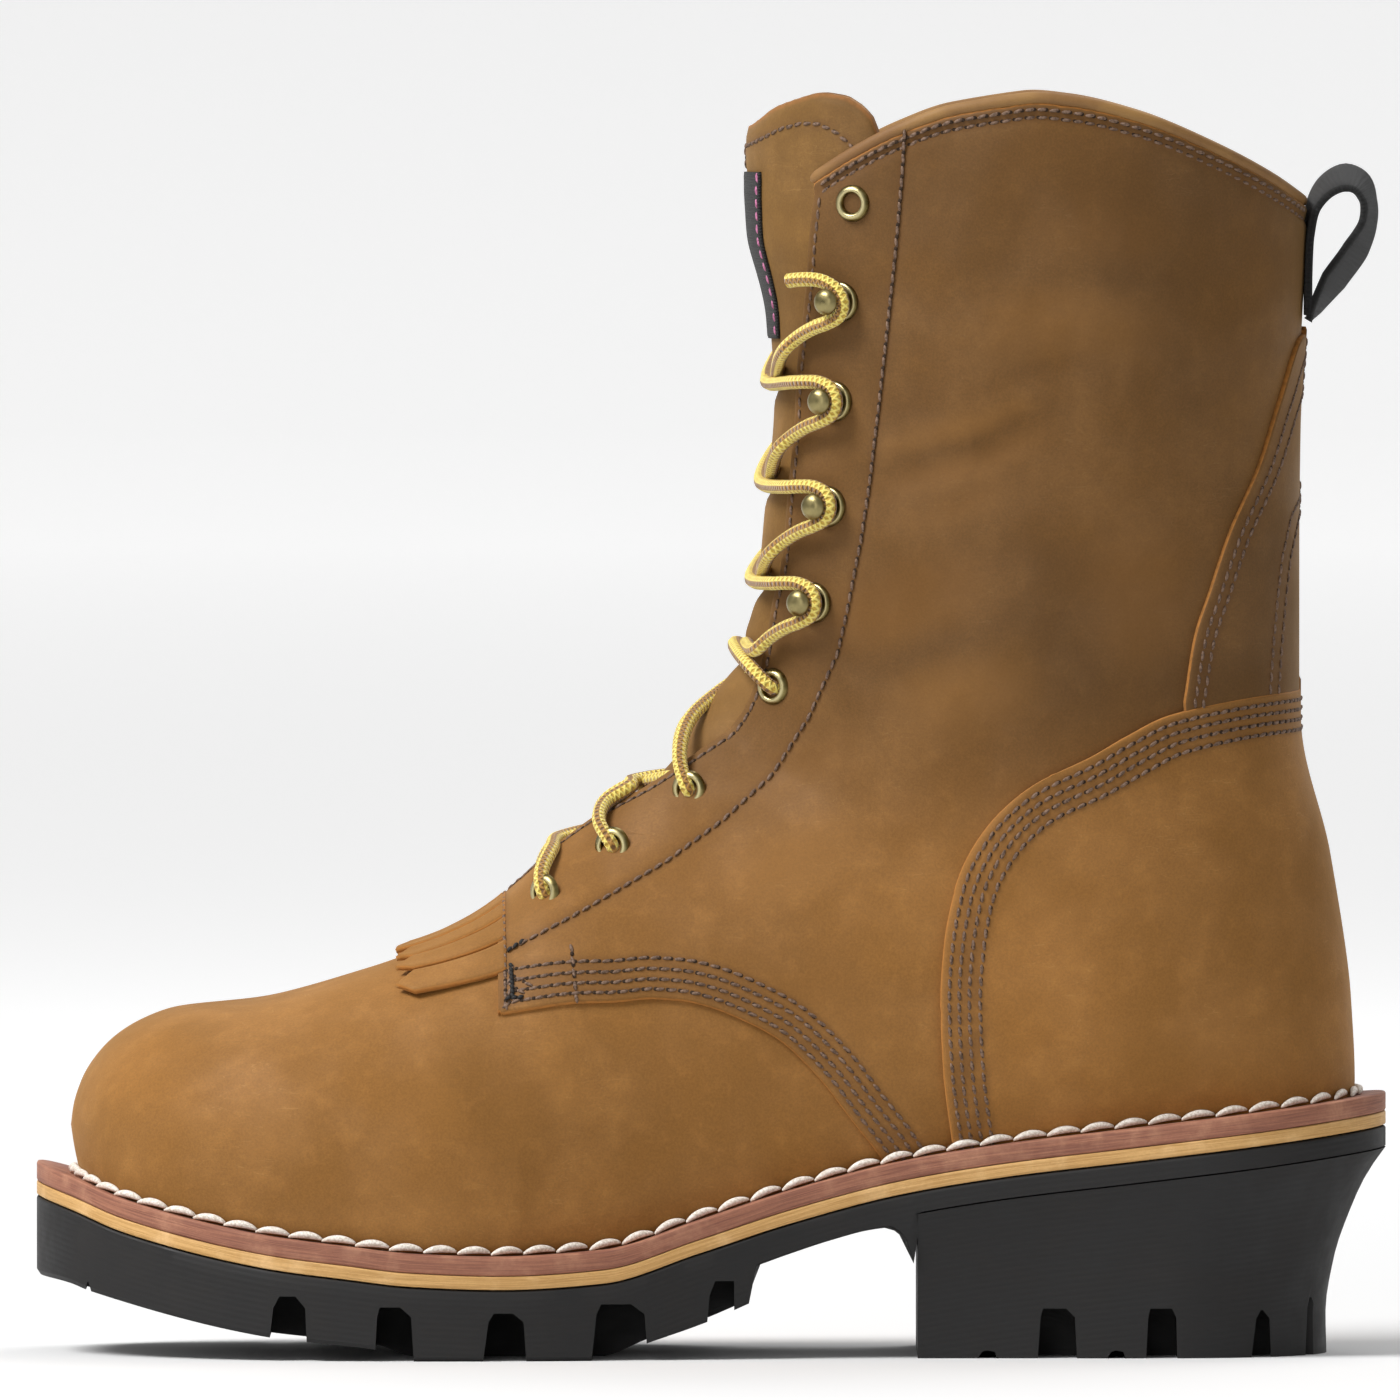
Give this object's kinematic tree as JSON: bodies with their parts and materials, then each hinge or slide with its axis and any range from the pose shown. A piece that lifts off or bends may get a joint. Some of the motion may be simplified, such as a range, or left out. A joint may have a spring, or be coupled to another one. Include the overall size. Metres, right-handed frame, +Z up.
{
  "type": "logger boot",
  "caption": "Left lace-up logger boot in tan oiled nubuck with raised heel foxing, brass hooks, a fringed kiltie and a lugged rubber sole with a high heel.",
  "frame": {"origin": "floor under the middle of the sole's length and greatest width", "axes": "+Z up, -X towards the toe, -Y towards the outer side of this left boot"},
  "size_m": [0.317, 0.115, 0.2975],
  "materials": {
    "upper_leather": "oiled nubuck, matte",
    "collar_leather": "matte, rolled",
    "welt_leather": "dyed red-brown, matte edge",
    "midsole_leather": "tan, sanded edge",
    "sole_rubber": "matte, moulded",
    "insole_board": "matte",
    "antique_brass": "aged satin",
    "black_webbing": "woven, matte",
    "lace_cord": "braided yellow with brown"
  },
  "bodies": {
    "root": {"outsole": "sole_rubber", "heel_block": "sole_rubber", "midsole": "midsole_leather", "welt": "welt_leather", "insole": "insole_board", "upper": "upper_leather", "counter": "upper_leather", "backstay": "upper_leather", "collar": "collar_leather", "tongue": "upper_leather", "tongue_label": "black_webbing", "kiltie": "upper_leather", "pull_loop": "black_webbing", "eyelet_01": "antique_brass", "eyelet_02": "antique_brass", "eyelet_03": "antique_brass", "eyelet_04": "antique_brass", "eyelet_05": "antique_brass", "eyelet_06": "antique_brass", "eyelet_07": "antique_brass", "eyelet_08": "antique_brass", "eyelet_09": "antique_brass", "eyelet_10": "antique_brass", "hook_1": "antique_brass", "hook_2": "antique_brass", "hook_3": "antique_brass", "hook_4": "antique_brass", "hook_5": "antique_brass", "hook_6": "antique_brass", "hook_7": "antique_brass", "hook_8": "antique_brass", "lace_crossing_1": "lace_cord", "lace_crossing_2": "lace_cord", "lace_crossing_3": "lace_cord", "lace_crossing_4": "lace_cord", "lace_crossing_5": "lace_cord", "lace_crossing_6": "lace_cord", "lace_crossing_7": "lace_cord", "lace_end_1": "lace_cord", "lace_end_2": "lace_cord"}
  },
  "joints": []
}
